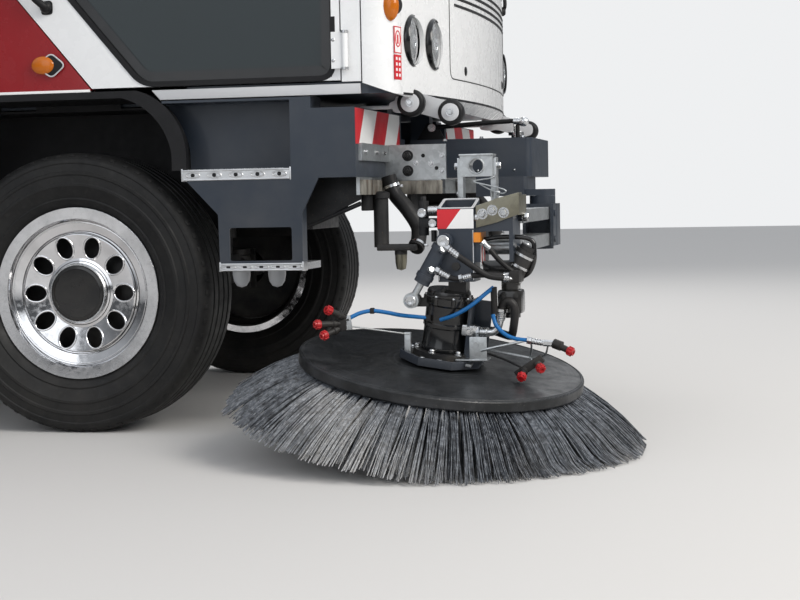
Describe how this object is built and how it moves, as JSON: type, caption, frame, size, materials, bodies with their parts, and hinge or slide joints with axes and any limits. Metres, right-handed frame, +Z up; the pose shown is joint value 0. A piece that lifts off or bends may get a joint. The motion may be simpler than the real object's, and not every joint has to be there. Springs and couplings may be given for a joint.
{
  "type": "street sweeper truck",
  "caption": "Compact street sweeper truck with a cab over the front axle, a tilting kerb broom on twin arms, a centre roller broom under a hood and a rear tipping hopper.",
  "frame": {"origin": "bottom centre of the whole truck's box, on the ground it stands on", "axes": "+X forward, +Y to the truck's left, +Z up"},
  "size_m": [6.1374, 3.3741, 2.8399],
  "materials": {
    "paint_white": "gloss white body paint",
    "paint_red": "gloss red body paint",
    "paint_slate": "satin dark blue-grey steel",
    "black_plastic": "moulded black plastic",
    "black_iron": "black painted casting",
    "galvanised": "zinc coated steel",
    "grating": "bare pressed aluminium",
    "rim_chrome": "polished wheel",
    "tyre": "truck tyre",
    "glass_clear": "tinted cab glass",
    "glass_lamp": "lamp lens",
    "glass_amber": "amber lens",
    "glass_red": "red lens",
    "seat_fabric": "woven seat cover",
    "dash_plastic": "grained dashboard",
    "bristle": "blue-grey bristle",
    "disc_black": "worn black brush plate",
    "spring_rubber": "air spring bellows"
  },
  "bodies": {
    "chassis": {"chassis_frame": "paint_slate", "front_axle": "black_iron", "rear_axle": "black_iron", "air_springs": "spring_rubber", "engine_block": "black_iron", "cab_floor": "paint_slate", "cab_frame": "paint_white", "cab_nose": "paint_white", "cab_roof": "paint_white", "cab_glass": "glass_clear", "quarter_panels": "paint_red", "mudguards": "black_plastic", "skirt_right": "paint_slate", "skirt_left": "paint_slate", "step_treads": "grating", "nose_box": "paint_slate", "front_beam": "galvanised", "broom_bracket": "paint_slate", "seats": "seat_fabric", "dashboard": "dash_plastic", "headlamps": "glass_lamp", "amber_lamps": "glass_amber", "mirrors": "black_plastic", "engine_housing": "paint_red", "exhaust_stack": "galvanised", "side_tanks": "paint_slate", "roller_hood": "black_iron", "rear_bumper": "paint_slate", "rear_lamps": "glass_red", "hopper_cradle": "paint_slate"},
    "knuckle_right": {"knuckle_right": "black_iron"},
    "knuckle_left": {"knuckle_left": "black_iron"},
    "wheel_front_right": {"tyre_front_right": "tyre", "rim_front_right": "rim_chrome"},
    "wheel_front_left": {"tyre_front_left": "tyre", "rim_front_left": "rim_chrome"},
    "wheel_rear_right": {"tyre_rear_right": "tyre", "rim_rear_right": "rim_chrome"},
    "wheel_rear_left": {"tyre_rear_left": "tyre", "rim_rear_left": "rim_chrome"},
    "door_right": {"door_right": "paint_white", "door_glass_right": "glass_clear"},
    "door_left": {"door_left": "paint_white", "door_glass_left": "glass_clear"},
    "broom_turret": {"broom_turret": "paint_slate"},
    "broom_arm_upper": {"broom_arm_upper": "galvanised"},
    "broom_arm_lower": {"broom_arm_lower": "galvanised"},
    "broom_column": {"broom_column": "paint_slate", "lock_bracket": "galvanised"},
    "broom_head": {"broom_motor": "black_iron"},
    "broom_brush": {"broom_disc": "disc_black", "broom_bristles": "bristle"},
    "tilt_ram_barrel": {"tilt_ram_barrel": "paint_slate"},
    "tilt_ram_rod": {"tilt_ram_rod": "galvanised"},
    "roller_arms": {"roller_arms": "black_iron"},
    "sweep_roller": {"sweep_roller": "bristle"},
    "hopper": {"hopper": "paint_red"},
    "tailgate": {"tailgate": "paint_white"},
    "lift_ram_barrels": {"lift_ram_barrels": "black_iron"},
    "lift_ram_rods": {"lift_ram_rods": "galvanised"}
  },
  "joints": [
    {"name": "steer_right", "type": "hinge", "parent": "chassis", "child": "knuckle_right", "pos_m": [1.08134, -0.38793, 0.49], "axis": [0, 0, 1], "range_deg": [-27, 27]},
    {"name": "steer_left", "type": "hinge", "parent": "chassis", "child": "knuckle_left", "pos_m": [1.08134, 1.09207, 0.49], "axis": [0, 0, 1], "range_deg": [-27, 27]},
    {"name": "roll_front_right", "type": "hinge", "parent": "knuckle_right", "child": "wheel_front_right", "pos_m": [1.08134, -0.60794, 0.49], "axis": [0, 1, 0], "continuous": true},
    {"name": "roll_front_left", "type": "hinge", "parent": "knuckle_left", "child": "wheel_front_left", "pos_m": [1.08134, 1.31207, 0.49], "axis": [0, 1, 0], "continuous": true},
    {"name": "roll_rear_right", "type": "hinge", "parent": "chassis", "child": "wheel_rear_right", "pos_m": [-1.76866, -0.60794, 0.49], "axis": [0, 1, 0], "continuous": true},
    {"name": "roll_rear_left", "type": "hinge", "parent": "chassis", "child": "wheel_rear_left", "pos_m": [-1.76866, 1.31207, 0.49], "axis": [0, 1, 0], "continuous": true},
    {"name": "open_door_right", "type": "hinge", "parent": "chassis", "child": "door_right", "pos_m": [2.08734, -0.81593, 1.292], "axis": [0, 0, 1], "range_deg": [0, 75]},
    {"name": "open_door_left", "type": "hinge", "parent": "chassis", "child": "door_left", "pos_m": [2.08734, 1.52006, 1.292], "axis": [0, 0, -1], "range_deg": [0, 75]},
    {"name": "broom_swing", "type": "hinge", "parent": "chassis", "child": "broom_turret", "pos_m": [2.62134, 0.05207, 0.7], "axis": [0, 0, 1], "range_deg": [0, 30]},
    {"name": "broom_lift", "type": "hinge", "parent": "broom_turret", "child": "broom_arm_upper", "pos_m": [2.62134, -0.05794, 0.735], "axis": [-1, 0, 0], "range_deg": [0, 10]},
    {"name": "broom_lower_arm", "type": "hinge", "parent": "broom_turret", "child": "broom_arm_lower", "pos_m": [2.62134, -0.05794, 0.64], "axis": [-1, 0, 0], "range_deg": [0, 10]},
    {"name": "broom_level", "type": "hinge", "parent": "broom_arm_upper", "child": "broom_column", "pos_m": [2.62134, -0.96593, 0.735], "axis": [-1, 0, 0], "range_deg": [-10, 0]},
    {"name": "broom_tilt", "type": "hinge", "parent": "broom_column", "child": "broom_head", "pos_m": [2.50134, -1.04794, 0.588], "axis": [0, 1, 0], "range_deg": [-4, 4]},
    {"name": "tilt_ram_turn", "type": "hinge", "parent": "broom_column", "child": "tilt_ram_barrel", "pos_m": [2.47334, -1.14494, 0.668], "axis": [0, 1, 0], "range_deg": [-4, 4]},
    {"name": "tilt_ram_stroke", "type": "slide", "parent": "tilt_ram_barrel", "child": "tilt_ram_rod", "axis": [-0.5033, 0, -0.8641], "range_m": [-0.01, 0.01]},
    {"name": "broom_spin", "type": "hinge", "parent": "broom_head", "child": "broom_brush", "pos_m": [2.43934, -1.04794, 0.285], "axis": [0.147, -0.1068, 0.9834], "continuous": true},
    {"name": "roller_lift", "type": "hinge", "parent": "chassis", "child": "roller_arms", "pos_m": [0.32134, 0.35207, 0.7], "axis": [0, 1, 0], "range_deg": [0, 7]},
    {"name": "roller_spin", "type": "hinge", "parent": "roller_arms", "child": "sweep_roller", "pos_m": [-0.36866, 0.35207, 0.372], "axis": [0, 1, 0], "continuous": true},
    {"name": "hopper_tip", "type": "hinge", "parent": "chassis", "child": "hopper", "pos_m": [-2.86866, 0.35207, 1.12], "axis": [0, -1, 0], "range_deg": [0, 40]},
    {"name": "tailgate_open", "type": "hinge", "parent": "hopper", "child": "tailgate", "pos_m": [-3.01066, 0.35207, 2.64], "axis": [0, 1, 0], "range_deg": [0, 80]},
    {"name": "lift_ram_turn", "type": "hinge", "parent": "chassis", "child": "lift_ram_barrels", "pos_m": [-2.36866, 0.35207, 0.6], "axis": [0, -1, 0], "range_deg": [0, 14]},
    {"name": "lift_ram_stroke", "type": "slide", "parent": "lift_ram_barrels", "child": "lift_ram_rods", "axis": [0.1821, 0, 0.9833], "range_m": [0, 0.385]}
  ],
  "couplings": [
    {"joint": "steer_left", "follows": "steer_right", "ratio": 1},
    {"joint": "broom_lower_arm", "follows": "broom_lift", "ratio": 1},
    {"joint": "broom_level", "follows": "broom_lift", "ratio": -1},
    {"joint": "tilt_ram_turn", "follows": "broom_tilt", "ratio": 0.73868},
    {"joint": "tilt_ram_stroke", "follows": "broom_tilt", "m_per_rad": -0.064458},
    {"joint": "lift_ram_turn", "follows": "hopper_tip", "ratio": 0.338},
    {"joint": "lift_ram_stroke", "follows": "hopper_tip", "m_per_rad": 0.5455}
  ]
}
